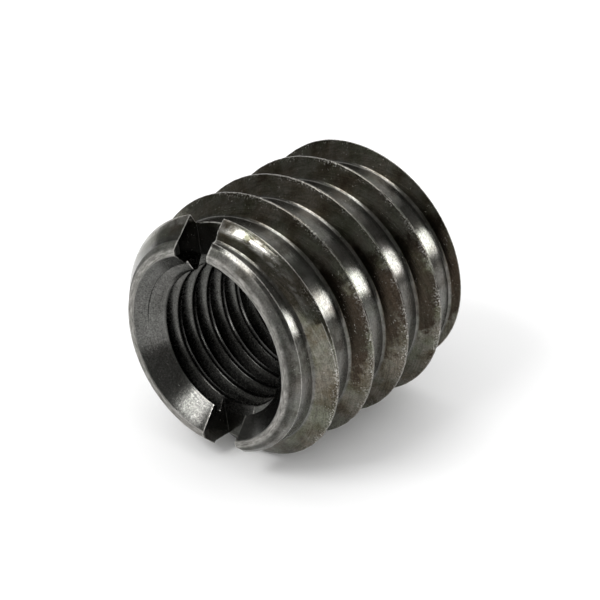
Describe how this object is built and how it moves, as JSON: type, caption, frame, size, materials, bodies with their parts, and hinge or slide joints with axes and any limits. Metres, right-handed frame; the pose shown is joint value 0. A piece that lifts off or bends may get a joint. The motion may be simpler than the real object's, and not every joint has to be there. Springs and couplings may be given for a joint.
{
  "type": "threaded insert",
  "caption": "Self-tapping threaded insert: turned steel sleeve with a coarse outer thread, a screw thread inside, and a countersunk end with a driver slot.",
  "frame": {"origin": "centre of the plain end face, on the bore's axis", "axes": "+Z along the bore's axis from the plain end to the slotted end, +X along the driver slot"},
  "size_m": [0.025, 0.025, 0.024],
  "materials": {
    "steel": "bare turned steel, dark and lightly oiled, with brighter worn edges"
  },
  "bodies": {
    "root": {"insert_body": "steel"}
  },
  "joints": []
}
